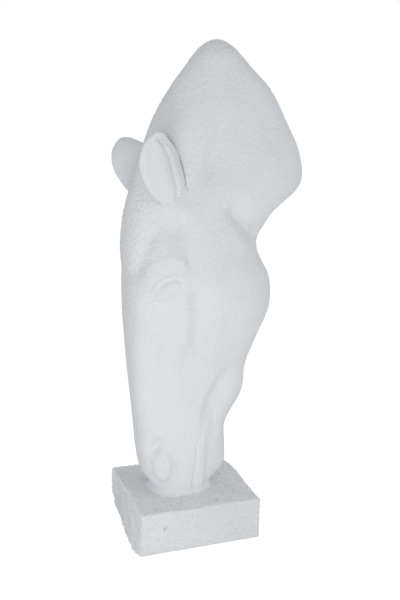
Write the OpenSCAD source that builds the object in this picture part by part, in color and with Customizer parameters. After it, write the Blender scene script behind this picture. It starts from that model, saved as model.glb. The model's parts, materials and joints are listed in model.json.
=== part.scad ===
// Grazing horse-head sculpture on a block plinth.
// The head is two hollow half castings joined along the centre line, with bonded ears.
// A threaded rod through the muzzle clamps it to the ballasted plinth.
// Origin: centre of the plinth's footprint on the ground. +Z up, forehead towards -Y, left side +X.

/* [Plinth] */
// Width of the plinth, side to side (X)
plinth_w = 190; // [170:1:220]
// Depth of the plinth, front to back (Y)
plinth_d = 204; // [190:1:230]
// Height of the plinth
plinth_h = 68; // [60:1:90]
// Wall of the plinth casting
plinth_wall = 14; // [10:1:18]
// Thickness of the plinth's top
plinth_top = 16; // [12:1:20]
// Radius of the plinth's upright edges
plinth_r = 7; // [3:1:10]
// Thickness of the board that closes the plinth from below
board_t = 8; // [6:1:10]

/* [Head] */
// Height of the head above the plinth
head_h = 732; // [640:4:800]
// Wall of the two half castings
wall = 12; // [8:1:13]
// Rings up the head's skin (a multiple of 4)
rings = 60; // [40:4:72]
// Facets round one half of a ring (a multiple of 4)
facets = 24; // [16:4:28]
// Width of the mortar bead round the foot of the muzzle
bead_w = 8; // [4:1:10]
// Thickness of the laminate bands inside the seams
strap_t = 4; // [2:1:6]

/* [Ears] */
// Length of an ear from its root to its tip
ear_l = 114; // [96:1:124]
// Diameter of the steel pin in an ear
ear_pin_d = 6; // [5:1:8]

/* [Fixings] */
// Diameter of the threaded rod
rod_d = 12; // [10:1:14]
// Across flats of the rod's nuts
nut_af = 19; // [17:1:22]
// Height of the rod's nuts
nut_h = 10; // [8:1:12]
// Thickness of the rod's washers
washer_t = 2.5; // [1.5:0.5:3]
// Thickness of the two steel plates
plate_t = 5; // [4:1:6]
// Diameter of the base board's screws
screw_d = 5; // [4:1:6]
// Length of the base board's screws
screw_l = 26; // [20:1:30]

/* [Hidden] */
$fn = 64;

STONE = [0.86, 0.87, 0.88];
MORTAR = [0.74, 0.75, 0.76];
LAMINATE = [0.80, 0.76, 0.62];
CONCRETE = [0.60, 0.60, 0.58];
STEEL = [0.66, 0.68, 0.70];
BRASS = [0.78, 0.64, 0.32];
BOARD = [0.55, 0.50, 0.44];

// ---- Shape of the head --------------------------------------------------------------------

// Sections up the head, from the muzzle's foot to the peak of the neck, for a head 732 high:
// height, front y, back y, half width, where it is widest (0 front to 1 back), squareness of
// the front and of the back (2 is an ellipse, more is boxier)
SECTIONS = [
    [  0,  -44,  30, 36, 0.45, 2.3, 2.3],
    [ 12,  -60,  48, 42, 0.42, 2.5, 2.3],
    [ 37,  -77,  68, 47, 0.40, 2.6, 2.3],
    [ 72,  -84,  69, 49, 0.40, 2.7, 2.3],
    [112,  -88,  70, 47, 0.40, 2.9, 2.2],
    [162,  -93,  98, 50, 0.40, 3.2, 2.2],
    [212,  -98, 103, 57, 0.40, 3.2, 2.3],
    [262, -102, 120, 66, 0.40, 3.0, 2.5],
    [312, -105, 138, 75, 0.36, 2.8, 2.7],
    [362, -106, 135, 80, 0.34, 2.6, 2.7],
    [412, -109, 113, 77, 0.38, 2.5, 2.5],
    [462, -105, 137, 71, 0.44, 2.4, 2.4],
    [512,  -93, 190, 67, 0.50, 2.3, 2.3],
    [562,  -78, 188, 63, 0.55, 2.2, 2.2],
    [612,  -59, 161, 59, 0.55, 2.1, 2.2],
    [662,  -30, 130, 52, 0.55, 2.0, 2.1],
    [702,   -1,  86, 44, 0.55, 2.0, 2.0],
    [732,   11,  69, 36, 0.55, 2.0, 2.0],
];
SECTIONS_H = 732;
LAST = len(SECTIONS) - 1;
// The columns of SECTIONS
FRONT = 1;
BACK = 2;
HALF_W = 3;
WIDEST = 4;
FRONT_SQ = 5;
BACK_SQ = 6;

k = head_h / SECTIONS_H;
// The peak is rounded over this height
cap_h = 34 * k;

// Slope of column c at section i, across its neighbours
function slope(i, c) =
    let (a = SECTIONS[max(i - 1, 0)], b = SECTIONS[min(i + 1, LAST)])
    (b[c] - a[c]) / (b[0] - a[0]);

// Number of the section just below height h
function below(h, i = 0) = i >= LAST - 1 || h < SECTIONS[i + 1][0] ? i : below(h, i + 1);

// Column c at height h, on a smooth curve through the sections
function along(h, c) =
    let (i = below(h), a = SECTIONS[i], b = SECTIONS[i + 1], d = b[0] - a[0])
    let (t = (h - a[0]) / d, t2 = t * t, t3 = t2 * t)
    (2 * t3 - 3 * t2 + 1) * a[c] + (t3 - 2 * t2 + t) * d * slope(i, c)
    + (3 * t2 - 2 * t3) * b[c] + (t3 - t2) * d * slope(i + 1, c);

// A soft bump at [y, h] with radii ry and rh, tilted by degrees
function bump(y, h, at, ry, rh, tilt, size) =
    let (dy = y - at[0], dh = h - at[1])
    let (u = (dy * cos(tilt) + dh * sin(tilt)) / ry, v = (dh * cos(tilt) - dy * sin(tilt)) / rh)
    size * exp(-u * u - v * v);

// A soft groove between points a and b
function groove(y, h, a, b, width, depth) =
    let (ab = b - a, ap = [y, h] - a, t = max(0, min(1, ap * ab / (ab * ab))))
    let (d = norm(ap - t * ab) / width)
    -depth * exp(-d * d);

// How far the flesh stands out sideways at y and height h, in the sections' own size
function relief(y, h) =
    bump(y, h, [-56, 384], 30, 14, -20, 6)        // brow
    + bump(y, h, [-56, 354], 17, 10, -20, 5)      // eye
    + bump(y, h, [-22, 402], 18, 34, 0, -7)       // hollow behind the brow
    + bump(y, h, [-78, 425], 13, 26, 0, -4)       // hollow beside the forehead
    + bump(y, h, [44, 330], 58, 66, 0, 5)         // round cheek
    + bump(y, h, [-56, 62], 15, 24, 0, 4)         // nostril
    + groove(y, h, [-14, 370], [-18, 248], 15, 5) // front edge of the cheek muscle
    + groove(y, h, [50, 222], [20, 166], 15, 5)   // jaw groove, upper stretch
    + groove(y, h, [20, 166], [14, 112], 15, 4)   // jaw groove, lower stretch
    + groove(y, h, [46, 626], [0, 516], 24, 5);   // neck muscle

// A point on the head: u up it from 0 to 1, th round its left half from 0 (front) to 180 (back),
// and inset behind the skin
function skin(u, th, inset = 0) =
    let (low = 1 - cap_h / head_h, tip = max(u - low, 0) / (1 - low))
    let (h = u * SECTIONS_H, dome = sqrt(max(1 - tip * tip, 0)), rise = (cap_h - inset) * tip)
    let (yf = k * along(h, FRONT) + inset, yb = k * along(h, BACK) - inset)
    let (w = k * along(h, HALF_W) - inset, yw = yf + (yb - yf) * along(h, WIDEST))
    let (s = sin(th), c = cos(th), sq = 2 / along(h, c >= 0 ? FRONT_SQ : BACK_SQ))
    let (y = c >= 0 ? yw - (yw - yf) * pow(c, sq) : yw + (yb - yw) * pow(-c, sq))
    let (out = inset > 0 ? 0 : k * relief(y / k, h) * s)
    let (mid = (yf + yb) / 2)
    [dome * (w * pow(s, sq) + out), mid + dome * (y - mid), plinth_h + min(u, low) * head_h + rise];

// ---- Meshes -------------------------------------------------------------------------------

// Faces of a grid with corners a, b, c, d, leaving out the flat ones
function quad(a, b, c, d) =
    [if (a != b && b != c && a != c) [a, b, c], if (a != c && c != d && a != d) [a, c, d]];

function flip(faces) = [for (f = faces) [f[2], f[1], f[0]]];

// Faces between a fine row of points and a coarse one with half as many steps
function zip(fine, coarse) = [
    for (j = [0 : len(coarse) - 2])
        let (a = fine[2 * j], b = fine[2 * j + 1], c = fine[2 * j + 2])
        let (p = coarse[j], q = coarse[j + 1])
        each [[p, a, b], [p, b, q], if (b != c) [q, b, c]]
];

// A closed solid through rings of points, each with the same count, capped flat at both ends
module loft(ring_list) {
    n = len(ring_list[0]);
    last = len(ring_list) - 1;
    centre = function (ring) [for (v = ring) 1] * ring / len(ring);
    points = [for (ring = ring_list) each ring, centre(ring_list[0]), centre(ring_list[last])];
    foot = n * (last + 1);
    faces = [
        for (i = [0 : last - 1], j = [0 : n - 1])
            let (j2 = (j + 1) % n)
            each quad(i * n + j, i * n + n + j, i * n + n + j2, i * n + j2),
        for (j = [0 : n - 1]) [foot, j, (j + 1) % n],
        for (j = [0 : n - 1]) [foot + 1, last * n + (j + 1) % n, last * n + j],
    ];
    polyhedron(points, faces);
}

// A closed solid between two grids of points, both [row][column]
module slab(over, under) {
    r = len(over) - 1;
    c = len(over[0]) - 1;
    m = (r + 1) * (c + 1);
    id = function (i, j) i * (c + 1) + j;
    points = [for (row = over) each row, for (row = under) each row];
    top = [for (i = [0 : r - 1], j = [0 : c - 1])
        each quad(id(i, j), id(i + 1, j), id(i + 1, j + 1), id(i, j + 1))];
    ends = [for (i = [0 : r - 1]) each [
        each quad(id(i, 0), m + id(i, 0), m + id(i + 1, 0), id(i + 1, 0)),
        each quad(id(i, c), id(i + 1, c), m + id(i + 1, c), m + id(i, c))]];
    sides = [for (j = [0 : c - 1]) each [
        each quad(id(0, j), id(0, j + 1), m + id(0, j + 1), m + id(0, j)),
        each quad(id(r, j), m + id(r, j), m + id(r, j + 1), id(r, j + 1))]];
    bottom = flip([for (f = top) f + [m, m, m]]);
    polyhedron(points, concat(top, ends, sides, bottom));
}

// ---- Head ---------------------------------------------------------------------------------

// Height fractions: even up to the rounded peak, then by the angle over it
peak_rings = 6;
function level(i) =
    let (body = rings - peak_rings, low = 1 - cap_h / head_h)
    i <= body ? low * i / body : low + (1 - low) * sin(90 * (i - body) / peak_rings);

half_rings = rings / 2;
half_facets = facets / 2;
// Last ring of the mortar core inside the muzzle
core_ring = 5;

function outer_pt(i, j) = skin(level(i), 180 * j / facets);
function inner_pt(i, j, inset = wall) = skin(level(2 * i), 180 * j / half_facets, inset);
function other_side(p) = [-p[0], p[1], p[2]];

module half_head() {
    m = rings * (facets + 1) + 1;
    outer_id = function (i, j) i == rings ? m - 1 : i * (facets + 1) + j;
    inner_id = function (i, j) m + (i == half_rings ? half_rings * (half_facets + 1)
        : i * (half_facets + 1) + j);
    points = [
        for (i = [0 : rings - 1], j = [0 : facets]) outer_pt(i, j),
        outer_pt(rings, 0),
        for (i = [0 : half_rings - 1], j = [0 : half_facets]) inner_pt(i, j),
        inner_pt(half_rings, 0),
    ];
    skin_faces = [for (i = [0 : rings - 1], j = [0 : facets - 1])
        each quad(outer_id(i, j), outer_id(i + 1, j), outer_id(i + 1, j + 1), outer_id(i, j + 1))];
    cavity_faces = [for (i = [0 : half_rings - 1], j = [0 : half_facets - 1])
        each quad(inner_id(i, j), inner_id(i, j + 1), inner_id(i + 1, j + 1), inner_id(i + 1, j))];
    face_joint = flip(zip([for (i = [0 : rings]) outer_id(i, 0)],
        [for (i = [0 : half_rings]) inner_id(i, 0)]));
    throat_joint = zip([for (i = [0 : rings]) outer_id(i, facets)],
        [for (i = [0 : half_rings]) inner_id(i, half_facets)]);
    rim = zip([for (j = [0 : facets]) outer_id(0, j)],
        [for (j = [0 : half_facets]) inner_id(0, j)]);
    polyhedron(points, concat(skin_faces, cavity_faces, face_joint, throat_joint, rim));
}

module left_half_shell() {
    difference() {
        half_head();
        ear_pin();
    }
}

module head_left_shell() {
    color(STONE) left_half_shell();
}

module head_right_shell() {
    color(STONE) mirror([1, 0, 0]) left_half_shell();
}

// Laminate band bonded over a seam from inside; column 0 is the face seam, the last the throat
module seam_strap(seam, next) {
    first = core_ring + 1;
    last = half_rings - 4;
    across = function (i, inset) [inner_pt(i, next, inset), inner_pt(i, seam, inset),
        other_side(inner_pt(i, next, inset))];
    over = [for (i = [first : last]) across(i, wall)];
    under = [for (i = [first : last]) across(i, wall + strap_t)];
    if (seam == 0) slab(under, over);
    else slab(over, under);
}

module face_seam_strap() {
    color(LAMINATE) seam_strap(0, 1);
}

module throat_seam_strap() {
    color(LAMINATE) seam_strap(half_facets, half_facets - 1);
}

// A whole ring round the head, from the points of its left half
function full_ring(half) =
    concat(half, [for (j = [len(half) - 2 : -1 : 1]) other_side(half[j])]);

module muzzle_core() {
    color(MORTAR) difference() {
        loft([for (i = [0 : core_ring])
            full_ring([for (j = [0 : half_facets]) inner_pt(i, j)])]);
        rod_bore();
    }
}

// Bead of mortar in the corner between the muzzle and the plinth
module mortar_bead() {
    foot = full_ring([for (j = [0 : facets]) outer_pt(0, j)]);
    top = full_ring([for (j = [0 : facets]) outer_pt(1, j)]);
    n = len(foot);
    out = [for (j = [0 : n - 1])
        let (d = foot[(j + 1) % n] - foot[(j + n - 1) % n], e = [d[1], -d[0], 0] / norm(d))
        foot[j] - e * (norm(top[j] - foot[j]) * 0.5 + bead_w)];
    points = concat(foot, top, out);
    against_head = [for (j = [0 : n - 1])
        let (j2 = (j + 1) % n)
        each quad(j, n + j, n + j2, j2)];
    outside = [for (j = [0 : n - 1])
        let (j2 = (j + 1) % n)
        each quad(2 * n + j, n + j, n + j2, 2 * n + j2)];
    underside = [for (j = [0 : n - 1])
        let (j2 = (j + 1) % n)
        each quad(j, 2 * n + j, 2 * n + j2, j2)];
    color(MORTAR) polyhedron(points, concat(against_head, flip(concat(outside, underside))));
}

// ---- Ears ---------------------------------------------------------------------------------

// Root of the left ear on the skin and the way it grows
EAR_ROOT = [57, -56, 549];
EAR_UP = unit([0.25, -0.20, 0.95]);
EAR_NOMINAL = 114;
// Sections up the ear: its middle, half its chord across and out, half its thickness
EAR_SECTIONS = [[[48, -53, 543], [-2, 6, 0], 5], [[55, -57, 551], [-3, 10, 0], 7],
    [[60, -58, 558], [-5, 18, 0], 8], [[63, -58, 566], [-6, 27, 0], 8.5],
    [[66, -60, 577], [-9, 33, 0], 8.5], [[69, -65, 591], [-12, 36, 0], 8.5],
    [[71, -69, 605], [-15, 36, 0], 8.5], [[73, -71, 620], [-20, 34, 0], 8.5],
    [[79, -73, 632], [-19, 28, 0], 7.5], [[87, -75, 641], [-15, 20, 0], 6],
    [[95, -78, 647], [-10, 13, 0], 4], [[101, -79, 651], [-3, 4, 0], 2]];
ear_facets = 28;
ear_k = ear_l / EAR_NOMINAL;
ear_at = [k * EAR_ROOT[0], k * EAR_ROOT[1], plinth_h + k * (EAR_ROOT[2] - 68)];

function unit(v) = v / norm(v);

module ear_body() {
    loft([for (s = EAR_SECTIONS) [for (j = [0 : ear_facets - 1])
        let (a = -360 * j / ear_facets, face = unit(cross(s[1], EAR_UP)))
        ear_at + ear_k * (s[0] - EAR_ROOT + cos(a) * s[1] + s[2] * sin(a) * face)]]);
}

// The head's flesh behind the ear, cut out of the ear so that its root fits the skin
module ear_seat() {
    deep = 34;
    first_ring = round(rings * 0.56);
    last_ring = round(rings * 0.76);
    first_column = 2;
    last_column = half_facets + 3;
    over = [for (i = [first_ring : last_ring])
        [for (j = [first_column : last_column]) outer_pt(i, j)]];
    under = [for (row = over) [for (p = row) p + [-deep, deep, 0]]];
    slab(over, under);
}

// Steel pin through the shell into the ear
module ear_pin() {
    reach = 40;
    tail = 18;
    translate(ear_at) rotate([0, acos(EAR_UP[2]), atan2(EAR_UP[1], EAR_UP[0])])
        translate([0, 0, -tail]) cylinder(h = reach + tail, d = ear_pin_d);
}

module left_ear_casting() {
    difference() {
        ear_body();
        ear_seat();
        ear_pin();
    }
}

module left_ear() {
    color(STONE) left_ear_casting();
}

module right_ear() {
    color(STONE) mirror([1, 0, 0]) left_ear_casting();
}

module left_ear_pin() {
    color(STEEL) ear_pin();
}

module right_ear_pin() {
    color(STEEL) mirror([1, 0, 0]) ear_pin();
}

// ---- Rod and its plates -------------------------------------------------------------------

// The rod stands behind the nose, under the thick of the muzzle
rod_y = -6;
// The pocket for the lower nut, in the underside of the ballast
pocket_d = 66;
pocket_top = 30;
rod_foot = board_t + 2;
core_top = inner_pt(core_ring, 0)[2];
rod_tail = 6;
rod_end = core_top + plate_t + washer_t + nut_h + rod_tail;
// A bore is cut this much past each face
over_cut = 1;

module rod_bore() {
    translate([0, rod_y, 0]) cylinder(h = rod_end, d = rod_d);
}

module tie_rod() {
    color(STEEL) translate([0, rod_y, rod_foot]) cylinder(h = rod_end - rod_foot, d = rod_d);
}

// A square steel plate with a hole for the rod, its lower face at z
module drilled_plate(z, w, d) {
    color(STEEL) difference() {
        translate([-w / 2, rod_y - d / 2, z]) cube([w, d, plate_t]);
        rod_bore();
    }
}

module rod_washer(z) {
    washer_d = 2.5 * rod_d;
    color(STEEL) translate([0, rod_y, z]) difference() {
        cylinder(h = washer_t, d = washer_d);
        translate([0, 0, -over_cut]) cylinder(h = washer_t + 2 * over_cut, d = rod_d);
    }
}

module rod_nut(z) {
    color(STEEL) translate([0, rod_y, z]) difference() {
        cylinder(h = nut_h, d = nut_af / cos(30), $fn = 6);
        translate([0, 0, -over_cut]) cylinder(h = nut_h + 2 * over_cut, d = rod_d);
    }
}

module upper_spreader_plate() {
    drilled_plate(core_top, 44, 70);
}

module upper_washer() {
    rod_washer(core_top + plate_t);
}

module upper_nut() {
    rod_nut(core_top + plate_t + washer_t);
}

module lower_anchor_plate() {
    drilled_plate(pocket_top - plate_t, 44, 44);
}

module lower_washer() {
    rod_washer(pocket_top - plate_t - washer_t);
}

module lower_nut() {
    rod_nut(pocket_top - plate_t - washer_t - nut_h);
}

// ---- Plinth -------------------------------------------------------------------------------

cavity_w = plinth_w - 2 * plinth_wall;
cavity_d = plinth_d - 2 * plinth_wall;
cavity_top = plinth_h - plinth_top;
screw_inset = 18;
insert_d = 2 * screw_d;
insert_l = 20;
screw_head_d = 2 * screw_d;
screw_head_h = screw_d / 2;
head_sunk = 0.5;

// A block with rounded upright edges, on z = 0
module block(w, d, h, r) {
    for (x = [-1, 1], y = [-1, 1])
        translate([x * (w / 2 - r), y * (d / 2 - r), 0]) cylinder(h = h, r = r);
    translate([-w / 2 + r, -d / 2, 0]) cube([w - 2 * r, d, h]);
    translate([-w / 2, -d / 2 + r, 0]) cube([w, d - 2 * r, h]);
}

module at_screws() {
    for (x = [-1, 1], y = [-1, 1])
        translate([x * (cavity_w / 2 - screw_inset), y * (cavity_d / 2 - screw_inset), 0])
            children();
}

module plinth_shell() {
    color(STONE) difference() {
        block(plinth_w, plinth_d, plinth_h, plinth_r);
        translate([-cavity_w / 2, -cavity_d / 2, -over_cut])
            cube([cavity_w, cavity_d, cavity_top + over_cut]);
        rod_bore();
    }
}

module ballast_block() {
    color(CONCRETE) difference() {
        translate([-cavity_w / 2, -cavity_d / 2, board_t])
            cube([cavity_w, cavity_d, cavity_top - board_t]);
        rod_bore();
        translate([0, rod_y, 0]) cylinder(h = pocket_top, d = pocket_d);
        at_screws() cylinder(h = board_t + insert_l, d = insert_d);
    }
}

module board_screw() {
    cylinder(h = screw_l, d = screw_d);
    cylinder(h = screw_head_h, d1 = screw_head_d, d2 = screw_d);
}

module base_board_screws() {
    color(STEEL) at_screws() translate([0, 0, head_sunk]) board_screw();
}

module base_board() {
    color(BOARD) difference() {
        translate([-cavity_w / 2, -cavity_d / 2, 0]) cube([cavity_w, cavity_d, board_t]);
        at_screws() translate([0, 0, head_sunk]) board_screw();
        at_screws() translate([0, 0, -over_cut]) cylinder(h = over_cut + head_sunk, d = screw_head_d);
    }
}

module screw_inserts() {
    color(BRASS) at_screws() difference() {
        translate([0, 0, board_t]) cylinder(h = insert_l, d = insert_d);
        cylinder(h = screw_l + head_sunk, d = screw_d);
    }
}

head_left_shell();
head_right_shell();
face_seam_strap();
throat_seam_strap();
left_ear();
right_ear();
left_ear_pin();
right_ear_pin();
muzzle_core();
mortar_bead();
tie_rod();
upper_spreader_plate();
upper_washer();
upper_nut();
lower_anchor_plate();
lower_washer();
lower_nut();
plinth_shell();
ballast_block();
base_board();
base_board_screws();
screw_inserts();
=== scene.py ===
"""Looks of the horse-head plinth sculpture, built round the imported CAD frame.

The head, ears, plinth and mortar bead are fine meshes that follow the CAD shapes and carry the
carved relief and the cast stone's sandy skin. The pieces inside keep their CAD meshes.
Lengths are in metres, apart from the relief functions, which work in millimetres of the head.
"""
import json
import math

import bpy
import numpy as np
from mathutils import Matrix, Vector, noise


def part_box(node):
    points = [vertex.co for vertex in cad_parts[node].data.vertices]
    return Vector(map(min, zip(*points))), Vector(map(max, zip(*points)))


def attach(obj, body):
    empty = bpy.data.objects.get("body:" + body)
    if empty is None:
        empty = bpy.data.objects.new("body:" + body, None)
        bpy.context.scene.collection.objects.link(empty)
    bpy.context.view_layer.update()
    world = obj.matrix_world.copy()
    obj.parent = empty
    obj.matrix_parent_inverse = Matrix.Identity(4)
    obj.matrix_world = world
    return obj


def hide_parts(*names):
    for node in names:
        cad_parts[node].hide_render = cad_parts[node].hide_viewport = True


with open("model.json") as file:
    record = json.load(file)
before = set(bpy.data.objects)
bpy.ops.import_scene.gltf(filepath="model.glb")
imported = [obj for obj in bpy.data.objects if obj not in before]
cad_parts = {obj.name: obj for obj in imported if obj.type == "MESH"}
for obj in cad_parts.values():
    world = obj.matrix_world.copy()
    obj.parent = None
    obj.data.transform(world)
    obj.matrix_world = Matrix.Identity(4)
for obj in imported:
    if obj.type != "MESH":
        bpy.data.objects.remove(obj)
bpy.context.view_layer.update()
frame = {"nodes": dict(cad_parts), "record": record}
BODY = "root"

# Metres in a millimetre
MM = 0.001


# ---- Camera and light ---------------------------------------------------------------------

# Where the camera stands, in metres, which way it turns, looks down and leans, in degrees, and
# its lens and sensor width in millimetres
CAMERA_AT = (1.061, -0.366, 0.600)
CAMERA_TURN = (-20.1, 10.6, 1.2)
LENS, SENSOR = 41.66, 36


def make_camera():
    """A 42 mm lens about a metre from the sculpture, in front of its left side."""
    yaw, pitch, roll = (math.radians(angle) for angle in CAMERA_TURN)
    forward = Vector((-math.cos(yaw) * math.cos(pitch), -math.sin(yaw) * math.cos(pitch),
                      -math.sin(pitch)))
    level = Vector((-math.sin(yaw), math.cos(yaw), 0))
    upright = level.cross(forward)
    right = math.cos(roll) * level + math.sin(roll) * upright
    up = math.cos(roll) * upright - math.sin(roll) * level
    camera = bpy.data.objects.new("camera", bpy.data.cameras.new("camera"))
    camera.data.sensor_width = SENSOR
    camera.data.lens = LENS
    turn = Matrix((right, up, -forward)).transposed().to_4x4()
    camera.matrix_world = Matrix.Translation(CAMERA_AT) @ turn
    bpy.context.scene.collection.objects.link(camera)
    bpy.context.scene.camera = camera


def make_light(name, place, aim, width, height, power):
    data = bpy.data.lights.new(name, "AREA")
    data.shape = "RECTANGLE"
    data.size = width
    data.size_y = height
    data.energy = power
    light = bpy.data.objects.new(name, data)
    light.visible_camera = False
    light.location = place
    light.rotation_euler = (Vector(aim) - Vector(place)).to_track_quat("-Z", "Y").to_euler()
    bpy.context.scene.collection.objects.link(light)


def shown_to_camera(tree, other, seen):
    """A mix of two shaders: the camera meets seen, and all other light meets other."""
    mix = tree.nodes.new("ShaderNodeMixShader")
    path = tree.nodes.new("ShaderNodeLightPath")
    tree.links.new(path.outputs["Is Camera Ray"], mix.inputs["Fac"])
    tree.links.new(other.outputs[0], mix.inputs[1])
    tree.links.new(seen.outputs[0], mix.inputs[2])
    return mix


WHITE = (1, 1, 1)


def background(tree, colour, strength):
    node = tree.nodes.new("ShaderNodeBackground")
    node.inputs["Color"].default_value = (*colour, 1)
    node.inputs["Strength"].default_value = strength
    return node


def floor_shader(tree, grey, roughness, sheen, glow):
    node = tree.nodes.new("ShaderNodeBsdfPrincipled")
    node.inputs["Base Color"].default_value = (grey, grey, grey, 1)
    node.inputs["Roughness"].default_value = roughness
    node.inputs["Specular IOR Level"].default_value = sheen
    node.inputs["Emission Color"].default_value = (*WHITE, 1)
    node.inputs["Emission Strength"].default_value = glow
    return node


# Colour and strength of the light from all round
SURROUND, SURROUND_GLOW = (0.97, 0.985, 1), 0.625
# Half the floor's side, in metres
FLOOR_REACH = 8


def make_studio():
    """Even light from all round, a low soft box left of the camera, a large weak one on the right
    and a pale floor."""
    make_light("key", place=(0.86, -0.42, 0.14), aim=(0.28, -0.12, 0.92),
               width=0.9, height=0.3, power=4.0)
    make_light("fill", place=(0.45, 1.15, 0.55), aim=(0, 0.05, 0.45),
               width=0.9, height=0.9, power=1.5)
    scene = bpy.context.scene
    scene.view_settings.view_transform = "Standard"
    world = bpy.data.worlds.new("surround")
    scene.world = world
    world.use_nodes = True
    tree = world.node_tree
    tree.nodes.clear()
    seen = background(tree, WHITE, 1.0)
    glow = background(tree, SURROUND, SURROUND_GLOW)
    out = tree.nodes.new("ShaderNodeOutputWorld")
    tree.links.new(shown_to_camera(tree, glow, seen).outputs[0], out.inputs["Surface"])

    ends = (-FLOOR_REACH, FLOOR_REACH)
    floor = grid_object("floor", [[Vector((x, y, 0)) for x in ends] for y in ends])
    material = bpy.data.materials.new("pale_floor")
    material.use_nodes = True
    tree = material.node_tree
    tree.nodes.clear()
    plain = floor_shader(tree, grey=0.60, roughness=0.9, sheen=0.5, glow=0.12)
    lit = floor_shader(tree, grey=0.30, roughness=1.0, sheen=0.0, glow=0.86)
    out = tree.nodes.new("ShaderNodeOutputMaterial")
    tree.links.new(shown_to_camera(tree, plain, lit).outputs[0], out.inputs["Surface"])
    floor.data.materials.append(material)


# ---- Mesh helpers -------------------------------------------------------------------------

def mesh_object(name, points, faces, normals=None):
    """A smooth-shaded mesh object. normals, if given, has one shading normal for each point."""
    mesh = bpy.data.meshes.new(name)
    mesh.from_pydata([tuple(p) for p in points], [], [tuple(f) for f in faces])
    mesh.validate()
    mesh.polygons.foreach_set("use_smooth", [True] * len(mesh.polygons))
    if normals is not None:
        mesh.normals_split_custom_set_from_vertices([tuple(n) for n in normals])
    mesh.update()
    thing = bpy.data.objects.new(name, mesh)
    bpy.context.scene.collection.objects.link(thing)
    return thing


def grid_object(name, rows):
    """An open sheet through rows of points."""
    count = len(rows[0])
    points = [p for row in rows for p in row]
    faces = [(i * count + j, i * count + j + 1, (i + 1) * count + j + 1, (i + 1) * count + j)
             for i in range(len(rows) - 1) for j in range(count - 1)]
    return mesh_object(name, points, faces)


def grid_normals(grid, wrap_rows=False):
    """Outward normals of a grid [row][column][xyz] whose columns go all the way round."""
    across = np.roll(grid, -1, 1) - np.roll(grid, 1, 1)
    along = np.roll(grid, -1, 0) - np.roll(grid, 1, 0) if wrap_rows else np.gradient(grid, axis=0)
    normal = np.cross(across, along)
    return normal / np.maximum(np.linalg.norm(normal, axis=-1, keepdims=True), 1e-12)


def grain(points, wave, octaves=1, seed=0.0):
    """Smooth noise from -1 to 1 at each point, with bumps about one wave (metres) apart."""
    shift = Vector((seed, 2.7 * seed, -1.3 * seed))
    flat = points.reshape(-1, 3) / wave
    values = [noise.fractal(Vector(p) + shift, 1.0, 2.0, octaves) if octaves > 1
              else noise.noise(Vector(p) + shift) for p in flat]
    return np.array(values).reshape(points.shape[:-1])


# ---- Shape of the head --------------------------------------------------------------------

head_low, head_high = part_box("head_left_shell")
FOOT = head_low.z
HEAD_H = head_high.z - head_low.z
# Sections up the head, in millimetres for a head 732 high: height, front y, back y, half width,
# where it is widest (0 front to 1 back), squareness of the front and of the back
SECTIONS = np.array([
    [0, -44, 30, 36, 0.45, 2.3, 2.3],
    [12, -60, 48, 42, 0.42, 2.5, 2.3],
    [37, -77, 68, 47, 0.40, 2.6, 2.3],
    [72, -84, 69, 49, 0.40, 2.7, 2.3],
    [112, -88, 70, 47, 0.40, 2.9, 2.2],
    [162, -93, 98, 50, 0.40, 3.2, 2.2],
    [212, -98, 103, 57, 0.40, 3.2, 2.3],
    [262, -102, 120, 66, 0.40, 3.0, 2.5],
    [312, -105, 138, 75, 0.36, 2.8, 2.7],
    [362, -106, 135, 80, 0.34, 2.6, 2.7],
    [412, -109, 113, 77, 0.38, 2.5, 2.5],
    [462, -105, 137, 71, 0.44, 2.4, 2.4],
    [512, -93, 190, 67, 0.50, 2.3, 2.3],
    [562, -78, 188, 63, 0.55, 2.2, 2.2],
    [612, -59, 161, 59, 0.55, 2.1, 2.2],
    [662, -30, 130, 52, 0.55, 2.0, 2.1],
    [702, -1, 86, 44, 0.55, 2.0, 2.0],
    [732, 11, 69, 36, 0.55, 2.0, 2.0],
])
SECTIONS_H = 732
# Height of the rounded peak
CAP_H = 34
# Millimetres of the real head for each of the table's
K = HEAD_H / (SECTIONS_H * MM)
FRONT, BACK, HALF_W, WIDEST, FRONT_SQ, BACK_SQ = range(1, 7)


def along(h, column, table=SECTIONS):
    """A column of the table at heights h, on a smooth curve through its rows."""
    knots, values = table[:, 0], table[:, column]
    slopes = np.empty(len(knots))
    slopes[1:-1] = (values[2:] - values[:-2]) / (knots[2:] - knots[:-2])
    slopes[0] = (values[1] - values[0]) / (knots[1] - knots[0])
    slopes[-1] = (values[-1] - values[-2]) / (knots[-1] - knots[-2])
    i = np.clip(np.searchsorted(knots, h, side="right") - 1, 0, len(knots) - 2)
    d = knots[i + 1] - knots[i]
    t = (h - knots[i]) / d
    return ((2 * t**3 - 3 * t**2 + 1) * values[i] + (t**3 - 2 * t**2 + t) * d * slopes[i]
            + (3 * t**2 - 2 * t**3) * values[i + 1] + (t**3 - t**2) * d * slopes[i + 1])


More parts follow.
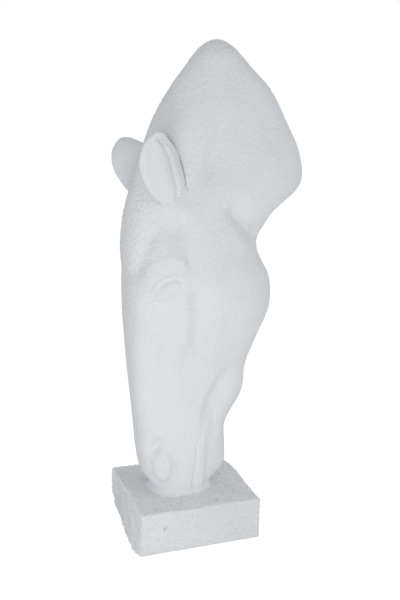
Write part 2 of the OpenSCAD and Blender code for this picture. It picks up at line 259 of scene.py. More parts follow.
def skin(u, turn, inset=0.0):
    """Points of the plain head in metres: u up it (0 to 1), turn round it in radians from the
    front, over the left side first. inset is how far behind the skin they lie, in millimetres."""
    low = 1 - CAP_H / SECTIONS_H
    tip = np.clip(u - low, 0, None) / (1 - low)
    dome = np.sqrt(np.clip(1 - tip**2, 0, 1))
    h = u * SECTIONS_H
    front = along(h, FRONT) + inset
    back = along(h, BACK) - inset
    w = along(h, HALF_W) - inset
    widest = front + (back - front) * along(h, WIDEST)
    s, c = np.sin(turn), np.cos(turn)
    ahead = c >= 0
    square = 2 / np.where(ahead, along(h, FRONT_SQ), along(h, BACK_SQ))
    reach = np.abs(c) ** square
    y = np.where(ahead, widest - (widest - front) * reach, widest + (back - widest) * reach)
    x = w * np.sign(s) * np.abs(s) ** square
    middle = (front + back) / 2
    z = np.minimum(u, low) * SECTIONS_H + (CAP_H - inset) * tip
    z = z + 0 * x
    grid = np.stack([x * dome, middle + (y - middle) * dome, z], -1)
    return grid * K * MM + np.array([0, 0, FOOT])


# ---- Carved relief, in millimetres of side-on y and height above the plinth ----------------

def smooth(t):
    t = np.clip(t, 0, 1)
    return t * t * (3 - 2 * t)


def bell(x, at, width):
    """1 at one place, falling smoothly to nearly 0 two widths either side of it."""
    return np.exp(-((x - at) / width) ** 2)


def bump(y, h, at, ry, rh, tilt, size):
    """A soft swelling, or a hollow if size is negative."""
    a = math.radians(tilt)
    dy, dh = y - at[0], h - at[1]
    u = (dy * math.cos(a) + dh * math.sin(a)) / ry
    v = (dh * math.cos(a) - dy * math.sin(a)) / rh
    return size * np.exp(-u * u - v * v)


def curve_points(points, steps=6):
    """Points on a smooth curve through a few."""
    pts = np.array(points, float)
    padded = np.vstack([2 * pts[0] - pts[1], pts, 2 * pts[-1] - pts[-2]])
    out = []
    for a, b, c, d in zip(padded, padded[1:], padded[2:], padded[3:]):
        for t in np.arange(steps) / steps:
            out.append(0.5 * (2 * b + (c - a) * t + (2 * a - 5 * b + 4 * c - d) * t * t
                              + (3 * b - a - 3 * c + d) * t**3))
    return np.vstack(out + [pts[-1]])


def nearest(y, h, points):
    """Signed distance from a smooth curve (positive on its right) and how far along it, 0 to 1."""
    path = curve_points(points)
    lengths = np.linalg.norm(np.diff(path, axis=0), axis=1)
    starts = np.concatenate([[0], np.cumsum(lengths)[:-1]])
    best = np.full(y.shape, np.inf)
    side = np.zeros(y.shape)
    place = np.zeros(y.shape)
    for a, b, length, start in zip(path, path[1:], lengths, starts):
        ty, th = (b - a) / length
        t = np.clip((y - a[0]) * ty + (h - a[1]) * th, 0, length)
        dy, dh = y - a[0] - t * ty, h - a[1] - t * th
        d = np.hypot(dy, dh)
        closer = d < best
        best = np.where(closer, d, best)
        side = np.where(closer, np.sign(dy * th - dh * ty), side)
        place = np.where(closer, (start + t) / lengths.sum(), place)
    return best * np.where(side == 0, 1, side), place


def fading(place, taper):
    """1 along the middle of a curve, falling to 0 at both ends."""
    return smooth(np.minimum(place, 1 - place) / taper)


def crease(y, h, points, width, depth, taper=0.25):
    """A groove along a smooth curve, fading at both ends. A negative depth makes a ridge."""
    d, place = nearest(y, h, points)
    return -depth * fading(place, taper) * bell(d, 0, width)


def shelf(y, h, points, depth, reach, wall, taper=0.25):
    """Flesh that sinks from the left towards a curve, over reach, and rises past it, over wall."""
    d, place = nearest(y, h, points)
    sinking = smooth(1 + np.minimum(d, 0) / reach)
    rising = 1 - smooth(np.maximum(d, 0) / wall)
    return -depth * fading(place, taper) * sinking * rising


UPPER_LID = [(-79, 338), (-74, 346), (-70, 356), (-63, 364), (-53, 368), (-43, 369), (-36, 362)]
LOWER_LID = [(-79, 338), (-67, 340), (-57, 340), (-46, 345), (-39, 354), (-36, 362)]
LID_FOLD = [(-85, 344), (-81, 356), (-72, 369), (-63, 375), (-52, 377), (-41, 375), (-31, 369)]
BALL_RISE = 3.6
RIM_WIDTH, LID_WIDTH = 1.9, 3.2


def eye(y, h):
    """Almond eye with an upper lid, the fold over it and a line at its inner corner."""
    above, place_above = nearest(y, h, UPPER_LID)
    below, place_below = nearest(y, h, LOWER_LID)
    within = np.maximum(np.minimum(above, -below), 0)
    ball = BALL_RISE * smooth(within / 12)
    rim_above = -2.1 * fading(place_above, 0.12) * bell(above, 0, RIM_WIDTH)
    rim_below = -1.6 * fading(place_below, 0.12) * bell(below, 0, RIM_WIDTH)
    lid = 1.5 * fading(place_above, 0.25) * bell(above, -4.5, LID_WIDTH)
    cushion = 1.3 * fading(place_below, 0.25) * bell(below, 4.0, LID_WIDTH)
    fold = crease(y, h, LID_FOLD, 2.8, 0.45, 0.3)
    corner = crease(y, h, [(-88, 333), (-82, 336), (-76, 339)], 2.6, 2.2, 0.4)
    return ball + rim_above + rim_below + lid + cushion + fold + corner


# The plug that fills the nostril: its middle, half width and half height, and lean in degrees
PLUG_AT = (-53, 60)
PLUG_SIZE = (16.5, 27)
PLUG_LEAN = 7
PLUG_RISE = 5.6
# How many times as far the plug reaches below its middle as above it
PLUG_DROOP = 1.3


def nostril(y, h):
    """Nostril filled by a smooth low dome, with a faint line inside its far edge."""
    tilt = math.radians(PLUG_LEAN)
    dy, dh = y - PLUG_AT[0], h - PLUG_AT[1]
    a = (dy * math.cos(tilt) + dh * math.sin(tilt)) / PLUG_SIZE[0]
    b = (dh * math.cos(tilt) - dy * math.sin(tilt)) / PLUG_SIZE[1]
    b = np.where(b < 0, b / PLUG_DROOP, b)
    r = np.hypot(a, b)
    behind = smooth((a + 0.2 * b + 0.1) / 0.6)
    dome = PLUG_RISE * smooth((1.10 - r) / 0.50)
    line = -0.9 * behind * bell(r, 0.78, 0.10)
    return dome + line


LIP_FRONT = [(3, -6), (2, 6), (2, 33), (4, 58), (6, 78), (8, 91), (13, 99), (21, 101)]
LIP_BACK = [(21, -6), (22, 20), (22, 49), (22, 75), (23, 104)]
LIP_RISE = 2.3
LIP_TOP = 104
CHIN_SET_BACK = 3.0
CHIN_TOP = 120


def lip(y, h):
    """The flat strip of the closed lips, a line in front of it and the chin set back behind it."""
    past_front, _ = nearest(y, h, LIP_FRONT)
    past_back, _ = nearest(y, h, LIP_BACK)
    strip = (LIP_RISE * smooth((LIP_TOP - h) / 8) * smooth(past_front / 5)
             * smooth(-past_back / 5))
    chin = (-CHIN_SET_BACK * smooth((past_back + 4) / 13) * smooth((46 - past_back) / 34)
            * smooth((CHIN_TOP - h) / 24))
    return strip + chin + crease(y, h, LIP_FRONT, 2.8, 2.9, 0.12)


BROW_LINE = [(-100, 338), (-93, 352), (-87, 368), (-78, 385), (-66, 393), (-52, 396), (-38, 393),
             (-26, 384)]


# The hollow's least depth, the height it reaches, its front and back edges, and how far above the
# brow line its floor is at full depth
TEMPLE_DEPTH = 8.0
TEMPLE_TOP = 484
TEMPLE_FRONT, TEMPLE_BACK = -96, -18
TEMPLE_CLIMB = 44


def temple(y, h):
    """The hollow between ear and brow: its floor climbs out to the brow, its back edge is crisp."""
    below, _ = nearest(y, h, BROW_LINE)
    climb = np.clip(-below / TEMPLE_CLIMB, 0, 1)
    climb = climb * (1.4 - 0.4 * climb) * smooth(-below / 12)
    top = smooth((TEMPLE_TOP - h) / 40)
    edge = smooth((TEMPLE_BACK - y) / (13 + 0.10 * np.clip(h - 400, 0, None)))
    front = smooth((y - TEMPLE_FRONT) / 26)
    deeper_behind = 0.06 * np.clip(y + 75, 0, 50)
    return -(TEMPLE_DEPTH + deeper_behind) * climb * top * edge * front


# The narrow gap between the rear edge of the ear and the neck
EAR_SLOT = [(-20, 496), (-25, 507), (-28, 515), (-30, 525), (-32, 536), (-35, 547), (-39, 558),
            (-45, 572), (-52, 584), (-58, 590)]


def relief(y, h):
    """How far the carved flesh stands out from the plain head, side-on. After its place, a bump
    has half sizes, tilt and height; a shelf depth, reach, wall and taper; a crease width, depth
    and taper."""
    parts = [
        # Brow, the hollow behind it and the one beside the forehead
        bump(y, h, (-57, 360), 34, 24, 20, 3.5),
        temple(y, h),
        shelf(y, h, [(-35, 462), (-26, 445), (-22, 428), (-21, 413), (-22, 401), (-28, 386),
                     (-40, 375)], 4.5, 26, 9.0, 0.3),
        crease(y, h, [(-80, 452), (-85, 432), (-90, 415), (-95, 398), (-100, 378), (-104, 356)],
               10, 7.0, 0.25),
        bump(y, h, (-60, 425), 15, 30, 20, 2.5),
        bump(y, h, (-4, 420), 26, 46, 0, 3.0),
        # Cheek and the crest in front of it
        bump(y, h, (36, 335), 62, 76, 0, 4.0),
        bump(y, h, (14, 280), 26, 32, 0, 3.5),
        shelf(y, h, [(-2, 232), (-4, 252), (-4, 275), (-4, 300), (-6, 322), (-10, 345),
                     (-13, 372)], 9.5, 26, 34, 0.25),
        # Jaw, nose and muzzle
        crease(y, h, [(25, 96), (20, 119), (22, 140), (27, 163), (38, 186), (52, 208), (68, 230)],
               8.5, 0.9, 0.35),
        shelf(y, h, [(30, 92), (27, 119), (29, 140), (35, 163), (46, 186), (60, 208), (76, 230)],
              7.5, 24, 34, 0.35),
        crease(y, h, [(43, 84), (40, 112), (40, 132), (42, 156)], 8.0, 3.0, 0.35),
        crease(y, h, [(-55, 100), (-58, 200), (-61, 300)], 13, 5.5, 0.35),
        crease(y, h, [(-36, 108), (-42, 180), (-46, 240)], 10, 1.4),
        crease(y, h, [(-7, 150), (-1, 165), (9, 176)], 4.0, 1.2),
        crease(y, h, [(-73, 72), (-67, 84), (-60, 96), (-52, 107)], 8.0, 10.5, 0.4),
        crease(y, h, [(-27, 20), (-25, 42), (-26, 66), (-33, 88), (-42, 110)], 9.0, 3.4, 0.35),
        lip(y, h),
        # Neck, throat and the swelling under the ear
        shelf(y, h, [(-2, 496), (10, 520), (20, 547), (31, 581), (43, 609), (54, 640)],
              4.0, 26, 60, 0.35),
        crease(y, h, [(-6, 500), (2, 520), (13, 547), (24, 577), (34, 601), (46, 632)],
               12, 6.0, 0.35),
        crease(y, h, [(122, 434), (94, 438), (66, 458), (38, 486)], 16, 13.0),
        crease(y, h, [(56, 474), (88, 520), (124, 578)], 22, -4.0),
        bump(y, h, (-50, 472), 26, 18, 0, 4.0),
        crease(y, h, EAR_SLOT, 1.6, 6.0, 0.2),
        eye(y, h),
        nostril(y, h),
    ]
    return sum(parts)


# ---- Head ---------------------------------------------------------------------------------

# Rows up the head, those of them in its rounded peak, and columns round each half
HEAD_ROWS = 440
PEAK_ROWS = 40
HEAD_COLUMNS = 204
# Points at which the spacing of those rows and columns is worked out
ROW_SAMPLES, COLUMN_SAMPLES = 2000, 900
# The cavity has one mesh line for this many of the skin's
INNER_STEP = 4
# The casting's wall, in millimetres
WALL = 12
# The unfilled joint under the back of the chin, in millimetres: its height, its depth and the y
# from which it opens
GAP_HEIGHT = 4.0
GAP_DEPTH = 7.0
GAP_FROM = 34
EYE_AT = (-57, 356)
# Where mesh lines run closer together (the eye, the muzzle and the gap beside the ear): the
# place's middle y, h, its reach in y, h, and the share by which lines are added
FOCUS = [(EYE_AT, (40, 34), 0.9), ((-20, 58), (60, 60), 0.7), ((-38, 548), (12, 45), 0.6)]
# Where the sand is faint (over the eye and in the hollow above it): the place's middle y, h, its
# half size in y, h, how many half sizes away the sand is whole again, and how much of it is gone
FAINT_SAND = [((-58, 354), (36, 32), 1.5, 0.85), ((-42, 412), (30, 40), 1.4, 0.55)]
# The sand on the head: height in millimetres, distance between grains in metres, seed
HEAD_SAND = [(0.25, 0.0056, 7.7), (0.95, 0.0037, 1.9)]


def focus(y, h):
    """How much closer together the mesh lines run at a place than elsewhere."""
    lines = 1
    for at, reach, more in FOCUS:
        away = -((y - at[0]) / reach[0]) ** 2 - ((h - at[1]) / reach[1]) ** 2
        lines = lines + more * np.exp(away)
    return lines


def spread(cost, count):
    """Fractions of the way along, 0 to 1, that split a running cost into equal shares."""
    total = np.concatenate([[0], np.cumsum(cost)])
    return np.interp(np.linspace(0, total[-1], count), total, np.linspace(0, 1, len(total)))


def head_levels():
    """Heights from 0 to 1, closer at the eye and muzzle and closing in over the rounded peak."""
    low = 1 - CAP_H / SECTIONS_H
    steps = np.linspace(0, low, ROW_SAMPLES)
    body = low * spread(focus(EYE_AT[0], steps * SECTIONS_H), HEAD_ROWS - PEAK_ROWS + 1)
    cap = low + (1 - low) * np.sin(np.linspace(0, math.pi / 2, PEAK_ROWS + 1))[1:]
    return np.concatenate([body, cap])[:, None]


def head_turns(levels):
    """The turns of each row's points, evenly apart round the left half but closer where needed."""
    fine = np.linspace(0, math.pi, COLUMN_SAMPLES)
    rows = skin(levels, fine[None, :])
    middle = (rows[:, 1:] + rows[:, :-1]) / 2 / (K * MM)
    step = np.linalg.norm(np.diff(rows, axis=1), axis=-1)
    cost = step * focus(middle[..., 1], middle[..., 2] - FOOT / (K * MM))
    return np.array([math.pi * spread(row, HEAD_COLUMNS + 1) for row in cost])


def coarseness(y, h):
    """Strength of the sand grain: full on the neck and cheek, rubbed down on the face, stronger
    beside the forehead and above the nostril, and faint over the eye and in the hollow above it."""
    rough = 0.5 + 0.5 * smooth((h - 190) / 140)
    rough = rough * (1 + 0.35 * smooth((h - 380) / 40) * smooth((-20 - y) / 50)
                     - 0.25 * smooth((y - 40) / 60))
    rough += 0.3 * np.exp(-((h - 100) / 30) ** 2) * smooth((-66 - y) / 10)
    for at, size, edge, gone in FAINT_SAND:
        away = np.hypot((y - at[0]) / size[0], (h - at[1]) / size[1])
        rough *= 1 - gone * smooth(edge - away)
    rough *= 1 - 0.2 * smooth((h - 640) / 50)
    return rough


def head_grid():
    """The finished skin, [row][column][xyz], with the columns going all the way round."""
    levels = head_levels()[:-1]
    half = head_turns(levels)
    turn = np.concatenate([half, 2 * math.pi - half[:, -2:0:-1]], axis=1)
    grid = skin(levels, turn)
    normal = grid_normals(grid)
    y, h = grid[..., 1] / (K * MM), (grid[..., 2] - FOOT) / (K * MM)
    left = relief(y[:, :HEAD_COLUMNS + 1], h[:, :HEAD_COLUMNS + 1])
    both = np.concatenate([left, left[:, -2:0:-1]], axis=1)
    # The relief is side-on, so it dies away where the skin turns to the front or the back
    aside = smooth(np.abs(normal[..., 0]) / 0.5)
    carved = both * aside * K
    rough = coarseness(y, h)
    carved += 0.5 * grain(grid, 0.060, seed=3.1)
    for size, wave, seed in HEAD_SAND:
        carved += size * rough * grain(grid, wave, seed=seed)
    grid = grid + normal * (carved * MM * smooth(h / 6))[..., None]
    grid[:, (0, HEAD_COLUMNS), 0] = 0
    grid[..., 2] = np.clip(grid[..., 2], FOOT, None)
    gap = smooth((GAP_HEIGHT - h) / 1.5) * smooth((y - GAP_FROM) / 8)
    grid[..., :2] -= normal[..., :2] * (gap * GAP_DEPTH * MM)[..., None]
    return grid


def zip_rows(fine, coarse):
    """Triangles between a fine row of point numbers and one with every INNER_STEP-th as many."""
    faces = []
    half = INNER_STEP // 2
    for j in range(len(coarse) - 1):
        part = fine[j * INNER_STEP:(j + 1) * INNER_STEP + 1]
        faces += [(coarse[j], part[i], part[i + 1]) for i in range(half)]
        faces.append((coarse[j], part[half], coarse[j + 1]))
        faces += [(coarse[j + 1], part[i], part[i + 1]) for i in range(half, len(part) - 1)]
    return [f for f in faces if len(set(f)) == 3]


def quads(ids, flip=False):
    """Faces of a grid of point numbers, closed to triangles where points meet."""
    faces = []
    for low, high in zip(ids, ids[1:]):
        for a, b, c, d in zip(low, low[1:], high[1:], high):
            face = tuple(dict.fromkeys((a, b, c, d)))
            if len(face) > 2:
                faces.append(face[::-1] if flip else face)
    return faces


def half_head(name, node, grid, normals, first):
    """One hollow half casting: the skin's columns from first on, a plain cavity and its joint."""
    columns = [(first + j) % (2 * HEAD_COLUMNS) for j in range(HEAD_COLUMNS + 1)]
    outer = grid[:, columns]
    peak = np.array([[0, outer[-1, :, 1].mean(), FOOT + HEAD_H]])
    levels = head_levels()[::INNER_STEP]
    turn = (first + np.arange(0, HEAD_COLUMNS + 1, INNER_STEP)) * math.pi / HEAD_COLUMNS
    inner = skin(levels, turn[None, :], WALL)
    inner[:, (0, -1), 0] = 0
    points = np.vstack([outer.reshape(-1, 3), peak, inner[:-1].reshape(-1, 3), inner[-1, :1]])
    width, inner_width = HEAD_COLUMNS + 1, inner.shape[1]
    base = HEAD_ROWS * width + 1
    outer_ids = [[i * width + j for j in range(width)] for i in range(HEAD_ROWS)]
    outer_ids.append([base - 1] * width)
    inner_ids = [[base + i * inner_width + j for j in range(inner_width)]
                 for i in range(len(levels) - 1)]
    inner_ids.append([len(points) - 1] * inner_width)
    faces = quads(outer_ids) + quads(inner_ids, flip=True)
    faces += [f[::-1] for f in zip_rows(outer_ids[0], inner_ids[0])]
    faces += zip_rows([r[0] for r in outer_ids], [r[0] for r in inner_ids])
    faces += [f[::-1] for f in zip_rows([r[-1] for r in outer_ids], [r[-1] for r in inner_ids])]
    inward = -np.cross(np.gradient(inner, axis=1), np.gradient(inner, axis=0))
    inward /= np.maximum(np.linalg.norm(inward, axis=-1, keepdims=True), 1e-12)
    shading = np.vstack([normals[:, columns].reshape(-1, 3), [[0, 0, 1]],
                         inward[:-1].reshape(-1, 3), [[0, 0, -1]]])
    half = mesh_object(name, points, faces, shading)
    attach(half, BODY)
    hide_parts(node)
    return half


# ---- Ears ---------------------------------------------------------------------------------

# The left ear in millimetres, at heights above the ground: its middle x, y, then how far its rear
# edge lies from there in x, y (the front edge mirrors it), and where the bowl ends, from -1 at the
# front edge to 1 at the rear
EAR_SECTIONS = np.array([
    [543, 48, -53, -1, 3, 1.3],
    [551, 55, -57, -3, 8, 1.1],
    [558, 60, -58, -5, 18, 0.80],
    [566, 63, -58, -6, 27, 0.55],
    [577, 66, -60, -9, 33, 0.44],
    [591, 69, -65, -12, 36, 0.40],
    [605, 71, -69, -15, 36, 0.38],
    [620, 73, -71, -20, 34, 0.30],
    [636, 81, -74, -21, 30, 0.02],
    [644, 90, -77, -19, 26, -0.36],
    [648, 96, -78, -19, 25, -0.72],
    [651, 101, -79, -19, 24, -1.20],
])
# The height from which the ear closes in to its tip, and half its thickness in front and behind
EAR_CLOSING = 618
EAR_FRONT, EAR_BACK = 8.0, 9.0
EAR_ROWS = 150
EAR_AROUND = 180


def make_ear(name, node, mirror):
    """A leaf-shaped ear with a filled bowl and a rolled rim on its rear edge."""
    low, high = EAR_SECTIONS[0, 0], EAR_SECTIONS[-1, 0]
    t = np.sin(np.linspace(0, math.pi / 2, EAR_ROWS))[:, None]
    z = low + (high - low) * t
    closed = np.clip(z - EAR_CLOSING, 0, None) / (high - EAR_CLOSING)
    closing = np.sqrt(np.clip(1 - closed ** 2, 0, 1))
    middle = np.stack([along(z, 1, EAR_SECTIONS), along(z, 2, EAR_SECTIONS), z], -1)
    side = np.stack([along(z, 3, EAR_SECTIONS), along(z, 4, EAR_SECTIONS), 0 * z], -1)
    up = np.gradient(middle, axis=0)
    face = np.cross(side, up)
    face = face / np.linalg.norm(face, axis=-1, keepdims=True)
    side = side * closing[..., None]
    turn = np.linspace(0, 2 * math.pi, EAR_AROUND, endpoint=False)[None, :]
    thick = np.where(np.sin(turn) > 0, EAR_FRONT, EAR_BACK) * closing
    across = np.cos(turn) * np.ones_like(t)
    depth = thick * np.sign(np.sin(turn)) * np.abs(np.sin(turn)) ** 0.8
    bowl_end = along(z, 5, EAR_SECTIONS)
    shown = smooth(np.sin(turn) / 0.35) * smooth((high - 1.5 - z) / 8)
    # Past the bowl's end in half widths of the ear, and depths in millimetres
    past = across - bowl_end
    groove = -2.0 * bell(past, 0, 0.08)
    rim = 1.2 * bell(past, 0.24, 0.15)
    bowl = 1.8 * bell(past, -0.38, 0.26) - 0.8 * bell(past, -0.95, 0.22)
    depth = depth + shown * (groove + rim + bowl)
    points = MM * (middle + across[..., None] * side + depth[..., None] * face)
    if mirror:
        points = (points * np.array([-1, 1, 1]))[:, ::-1]
    normal = grid_normals(points)
    fine = 0.45 * grain(points, 0.022, seed=5.0) + 0.12 * grain(points, 0.005, seed=2.2)
    points = points + normal * (fine * MM)[..., None]
    rows, count = EAR_ROWS - 1, EAR_AROUND
    ids = [[i * count + j for j in range(count)] + [i * count] for i in range(rows)]
    foot, tip = rows * count, rows * count + 1
    flat = np.vstack([points[:rows].reshape(-1, 3), points[0].mean(0), points[-1].mean(0)])
    faces = quads([[foot] * (count + 1)] + ids + [[tip] * (count + 1)])
    ear = mesh_object(name, flat, faces)
    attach(ear, BODY)
    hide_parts(node)
    return ear


# ---- Plinth and bead ----------------------------------------------------------------------

def rounded_ring(half_x, half_y, radius, count):
    """Points round a rounded rectangle, evenly spaced, anticlockwise from the middle of +X."""
    straight = (2 * (half_y - radius), 2 * (half_x - radius))
    arc = math.pi * radius / 2
    total = 2 * sum(straight) + 4 * arc
    out = []
    for i in range(count):
        d = (total * i / count + straight[0] / 2) % total
        for corner, (sx, sy) in enumerate(((1, 1), (-1, 1), (-1, -1), (1, -1))):
            run = straight[corner % 2]
            angle = corner * math.pi / 2
            cx, cy = sx * (half_x - radius), sy * (half_y - radius)
            if d < run:
                back = run - d
                out.append((cx + radius * math.cos(angle) + back * math.sin(angle),
                            cy + radius * math.sin(angle) - back * math.cos(angle)))
                break
            d -= run
            if d < arc:
                angle += d / radius
                out.append((cx + radius * math.cos(angle), cy + radius * math.sin(angle)))
                break
            d -= arc
    return np.array(out)


def flat_ring(outline, z):
    return np.column_stack([outline, np.full(len(outline), z)])


# Radii of the plinth's top edge and upright corners, how far its foot draws in, and the radius of
# its cavity's corners
PLINTH_EDGE = 3.0 * MM
PLINTH_CORNER = 4.5 * MM
PLINTH_FOOT_EDGE = 0.8 * MM
CAVITY_CORNER = 0.5 * MM
# Points round the plinth, rows up its sides, over its top edge and in to the rod's hole
PLINTH_AROUND = 560
WALL_ROWS, EDGE_ROWS, TOP_ROWS = 46, 8, 60
# The rows next to the rod's hole over which the unevenness dies away
HOLE_FADE = 12
# How much of the unevenness is left in the lowest row
FOOT_FADE = 0.3
# Edges of the plinth sharper than this many degrees are shaded as edges
SHARP_FROM = 50
# Pinholes in the plinth's faces, in millimetres: place, size, depth
PITS = [((95, -62, 41), 2.3, 7.0), ((95, 60, 20), 1.8, 1.5), ((-95, 30, 50), 2.4, 3.0),
        ((-95, -50, 22), 1.8, 2.0), ((20, 102, 40), 2.2, 3.0), ((-60, 102, 18), 1.8, 2.0),
        ((78, 30, 68), 2.2, 7.0), ((31, -87, 68), 1.8, 4.0), ((22, -44, 68), 2.4, 8.0),
        ((54, -25, 68), 1.8, 3.5)]


def plinth_relief(part, normal):
    """How uneven the plinth's skin is, in millimetres: most on its front face, with a bulge at the
    foot of that face, a swelling on its far and back faces, and a few pinholes."""
    x, y, z = part[..., 0], part[..., 1], part[..., 2]
    rough = smooth(-normal[..., 1] / 0.6)
    uneven = 1.2 * grain(part, 0.060, seed=4.4) + 0.40 * grain(part, 0.016, seed=6.1)
    uneven += (1.5 + 0.4 * rough) * grain(part, 0.0026, seed=8.8)
    low_bulge = np.exp(-((z - 0.008) / 0.024) ** 2 - ((x - 0.045) / 0.05) ** 2)
    uneven += rough * (3.2 * grain(part, 0.034, 3, seed=9.2) + 8.0 * low_bulge
                       + 1.4 * grain(part, 0.011, seed=14.0))
    far = smooth(-normal[..., 0] / 0.6)
    uneven += (far * (0.5 + 2.5 * smooth(0.5 - y / 0.2))
               * smooth((0.105 - y) / 0.05) * smooth((z - 0.008) / 0.02))
    back = smooth(normal[..., 1] / 0.6)
    uneven += back * 3.0 * bell(x, -0.03, 0.06)
    for at, size, depth in PITS:
        away = np.linalg.norm(part - np.array(at) * MM, axis=-1) / (size * MM)
        uneven -= depth * np.exp(-away ** 4)
    return uneven


def make_plinth():
    """Hollow block with soft, uneven edges, open below, with the rod's hole in its top."""
    _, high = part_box("plinth_shell")
    _, cavity_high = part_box("ballast_block")
    rod_low, rod_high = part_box("tie_rod")
    half_x, half_y, height = high.x, high.y, high.z
    edge, corner, count = PLINTH_EDGE, PLINTH_CORNER, PLINTH_AROUND
    rings = []
    for z in np.linspace(0, height - edge, WALL_ROWS):
        foot = PLINTH_FOOT_EDGE * (1 - smooth(z / (1.5 * PLINTH_FOOT_EDGE)))
        rings.append(flat_ring(rounded_ring(half_x - foot, half_y - foot, corner, count), z))
    for a in np.linspace(0, math.pi / 2, EDGE_ROWS + 1)[1:]:
        inward = edge * (1 - math.cos(a))
        outline = rounded_ring(half_x - inward, half_y - inward, corner - inward, count)
        rings.append(flat_ring(outline, height - edge + edge * math.sin(a)))
    hole_y = (rod_low.y + rod_high.y) / 2
    hole_r = (rod_high.x - rod_low.x) / 2
    turn = np.linspace(0, 2 * math.pi, count, endpoint=False)
    hole = np.column_stack([hole_r * np.cos(turn), hole_y + hole_r * np.sin(turn)])
    rim = rings[-1]
    for t in np.linspace(0, 1, TOP_ROWS + 1)[1:]:
        rings.append(rim + (flat_ring(hole, height) - rim) * t)
    shown = len(rings)
    under = rounded_ring(cavity_high.x, cavity_high.y, CAVITY_CORNER, count)
    rings += [flat_ring(hole, cavity_high.z), flat_ring(under, cavity_high.z), flat_ring(under, 0)]
    grid = np.array(rings)
    normal = grid_normals(grid, wrap_rows=True)[:shown]
    part = grid[:shown]
    uneven = plinth_relief(part, normal)
    fade = np.ones(shown)
    fade[-HOLE_FADE:] = np.linspace(1, 0, HOLE_FADE)
    fade[0] = FOOT_FADE
    grid[:shown] = part + normal * (uneven * fade[:, None] * MM)[..., None]
    grid[..., 2] = np.clip(grid[..., 2], 0, None)
    grid[0, :, 2] = 0
    rows = len(grid)
    ids = [[i * count + j for j in range(count)] + [i * count] for i in range(rows)]
    plinth = mesh_object("plinth_casting", grid.reshape(-1, 3), quads(ids + [ids[0]]))
    plinth.data.set_sharp_from_angle(angle=math.radians(SHARP_FROM))
    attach(plinth, BODY)
    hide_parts("plinth_shell")
    return plinth


# The row of the head that the mortar's upper edge follows, and one above it that gives the skin's
# slope there
BEAD_ROW, SLOPE_ROW = 6, 8
# Points across the bead's profile
BEAD_RINGS = 13
# The bead's usual width, its least and its most, in millimetres
BEAD_WIDTH, BEAD_LEAST, BEAD_MOST = 10.0, 2.0, 15
# How far it draws back inside the head where the joint is unfilled, in millimetres
BEAD_HIDDEN = 14


def make_bead(grid):
    """Mortar smeared into the corner between the muzzle and the plinth, widest in front and left
    out under the back of the chin. Its profile leaves the skin along the skin's own slope."""
    foot = grid[0, ::2]
    rise = grid[BEAD_ROW, ::2]
    climb = grid[SLOPE_ROW, ::2] - rise
    climb = climb / np.linalg.norm(climb, axis=1, keepdims=True)
    count = len(foot)
    out = foot - foot.mean(0)
    out = out / np.linalg.norm(out, axis=1, keepdims=True)
    filled = smooth((0.038 - foot[:, 1]) / 0.012)
    width = BEAD_WIDTH + 7.0 * grain(foot, 0.016, 2, seed=12.0) + 3.0 * grain(foot, 0.005, seed=3.0)
    width = width * (0.55 + 0.45 * smooth(-foot[:, 1] / 0.03))
    width = np.clip(width, BEAD_LEAST, BEAD_MOST) * MM
    low = rise + out * width[:, None]
    low[:, 2] = foot[:, 2] - 2 * MM
    inner = low - out * (width * 0.35)[:, None]
    upper = rise - climb * (3.5 * MM)
    hidden = out * ((1 - filled) * BEAD_HIDDEN * MM)[:, None]
    rings = [foot - out * 2 * MM - hidden]
    for t in np.linspace(0, 1, BEAD_RINGS):
        ring = ((1 - t) ** 3 * low + 3 * (1 - t) ** 2 * t * inner
                + 3 * (1 - t) * t ** 2 * upper + t ** 3 * rise)
        ring[:, 2] += 0.5 * MM * grain(ring, 0.006, seed=21.0) * math.sin(math.pi * t)
        rings.append(ring - hidden)
    rings.append(rise - out * 2.5 * MM - hidden)
    ring_grid = np.array(rings)
    rows = len(ring_grid)
    ids = [[i * count + j for j in range(count)] + [i * count] for i in range(rows)]
    bead = mesh_object("mortar_smear", ring_grid.reshape(-1, 3), quads(ids + [ids[0]]))
    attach(bead, BODY)
    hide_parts("mortar_bead")
    return bead


# ---- Materials ----------------------------------------------------------------------------

def new_material(name, roughness, metallic=0.0):
    material = bpy.data.materials.new(name)
    material.use_nodes = True
    shader = material.node_tree.nodes["Principled BSDF"]
    shader.inputs["Roughness"].default_value = roughness
    shader.inputs["Metallic"].default_value = metallic
    return material, material.node_tree.nodes, material.node_tree.links, shader


def noise_node(nodes, links, coords, scale, detail=3.0):
    node = nodes.new("ShaderNodeTexNoise")
    node.inputs["Scale"].default_value = scale
    node.inputs["Detail"].default_value = detail
    links.new(coords.outputs["Object"], node.inputs["Vector"])
    return node


# The values of the noise between which one colour turns into the other
RAMP_FROM, RAMP_TO = 0.3, 0.7


def ramp_node(nodes, links, source, low, high):
    node = nodes.new("ShaderNodeValToRGB")
    node.color_ramp.elements[0].position = RAMP_FROM
    node.color_ramp.elements[0].color = (*low, 1)
    node.color_ramp.elements[1].position = RAMP_TO
    node.color_ramp.elements[1].color = (*high, 1)
    links.new(source, node.inputs["Fac"])
    return node


def bump_node(nodes, links, height, distance):
    node = nodes.new("ShaderNodeBump")
    node.inputs["Distance"].default_value = distance
    links.new(height, node.inputs["Height"])
    return node


# Cells per metre of the drift in the stone's colour, and of its coarse and fine sand
DRIFT, COARSE_SAND, FINE_SAND = 14, 330, 640
# How much of the sand is left where the stone is rubbed smooth
RUBBED = 0.4
STONE_ROUGHNESS, STONE_SHEEN = 0.85, 0.25


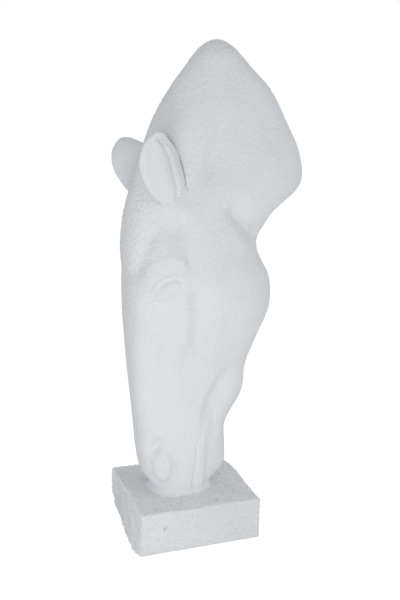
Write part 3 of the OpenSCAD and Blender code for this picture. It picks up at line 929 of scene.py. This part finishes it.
def stone_material(name, low, high, sand, ground=None):
    """Sand-textured cast stone with soft colour drift. sand is the height of its grain in metres,
    and ground the two heights between which a rubbed-smooth finish turns into the full grain."""
    material, nodes, links, shader = new_material(name, STONE_ROUGHNESS)
    shader.inputs["Specular IOR Level"].default_value = STONE_SHEEN
    coords = nodes.new("ShaderNodeTexCoord")
    drift = noise_node(nodes, links, coords, DRIFT)
    colour = ramp_node(nodes, links, drift.outputs["Fac"], low, high)
    links.new(colour.outputs["Color"], shader.inputs["Base Color"])
    coarse = noise_node(nodes, links, coords, COARSE_SAND, 2)
    fine = noise_node(nodes, links, coords, FINE_SAND, 2)
    height = nodes.new("ShaderNodeMath")
    height.operation = "ADD"
    links.new(coarse.outputs["Fac"], height.inputs[0])
    links.new(fine.outputs["Fac"], height.inputs[1])
    source = height.outputs[0]
    if ground is not None:
        place = nodes.new("ShaderNodeSeparateXYZ")
        links.new(coords.outputs["Object"], place.inputs["Vector"])
        rubbed = nodes.new("ShaderNodeMapRange")
        rubbed.inputs["From Min"].default_value = ground[0]
        rubbed.inputs["From Max"].default_value = ground[1]
        rubbed.inputs["To Min"].default_value = RUBBED
        rubbed.inputs["To Max"].default_value = 1.0
        links.new(place.outputs["Z"], rubbed.inputs["Value"])
        scaled = nodes.new("ShaderNodeMath")
        scaled.operation = "MULTIPLY"
        links.new(source, scaled.inputs[0])
        links.new(rubbed.outputs["Result"], scaled.inputs[1])
        source = scaled.outputs[0]
    grained = bump_node(nodes, links, source, sand)
    links.new(grained.outputs["Normal"], shader.inputs["Normal"])
    return material


def plain_material(name, low, high, roughness, metallic=0.0, scale=60, depth=0.0002):
    """A material with soft colour drift and a fine bump."""
    material, nodes, links, shader = new_material(name, roughness, metallic)
    coords = nodes.new("ShaderNodeTexCoord")
    drift = noise_node(nodes, links, coords, scale)
    colour = ramp_node(nodes, links, drift.outputs["Fac"], low, high)
    links.new(colour.outputs["Color"], shader.inputs["Base Color"])
    fine = noise_node(nodes, links, coords, scale * 8)
    links.new(bump_node(nodes, links, fine.outputs["Fac"], depth).outputs["Normal"],
              shader.inputs["Normal"])
    return material


def paint(thing, material):
    thing.data.materials.clear()
    thing.data.materials.append(material)


# ---- Build --------------------------------------------------------------------------------

make_camera()
make_studio()
# Shades of the stone, and the sand's height in metres on each casting
PALE, PALER = (0.80, 0.817, 0.836), (0.84, 0.857, 0.876)
DIM, PALEST = (0.77, 0.787, 0.806), (0.88, 0.897, 0.916)
stone = stone_material("cast_stone", PALE, PALER, 0.0010, ground=(0.26, 0.42))
smooth_stone = stone_material("rubbed_stone", DIM, PALE, 0.0007)
rough_stone = stone_material("plinth_stone", PALER, PALEST, 0.0011)
mortar = stone_material("mortar", PALE, PALER, 0.0010)

skin_grid = head_grid()
skin_normals = grid_normals(skin_grid)
left_head = half_head("head_left", "head_left_shell", skin_grid, skin_normals, 0)
right_head = half_head("head_right", "head_right_shell", skin_grid, skin_normals, HEAD_COLUMNS)
for piece in (left_head, right_head):
    paint(piece, stone)
for piece in (make_ear("ear_left", "left_ear", False), make_ear("ear_right", "right_ear", True)):
    paint(piece, smooth_stone)
paint(make_plinth(), rough_stone)
paint(make_bead(skin_grid), mortar)

SLOT_MATERIALS = {
    "cast_stone": stone,
    "mortar": mortar,
    "concrete": plain_material("concrete", (0.40, 0.40, 0.38), (0.55, 0.55, 0.53), 0.9),
    "laminate": plain_material("laminate", (0.62, 0.57, 0.42), (0.72, 0.68, 0.54), 0.6),
    "board": plain_material("board", (0.36, 0.31, 0.25), (0.48, 0.43, 0.36), 0.8, scale=30),
    "steel": plain_material("steel", (0.50, 0.52, 0.54), (0.62, 0.64, 0.66), 0.35, 1.0, 120, 5e-5),
    "brass": plain_material("brass", (0.66, 0.50, 0.22), (0.76, 0.60, 0.30), 0.35, 1.0, 120, 5e-5),
}
for part in frame["record"]["subparts"]:
    paint(frame["nodes"][part["node"]], SLOT_MATERIALS[part["material_slot"]])
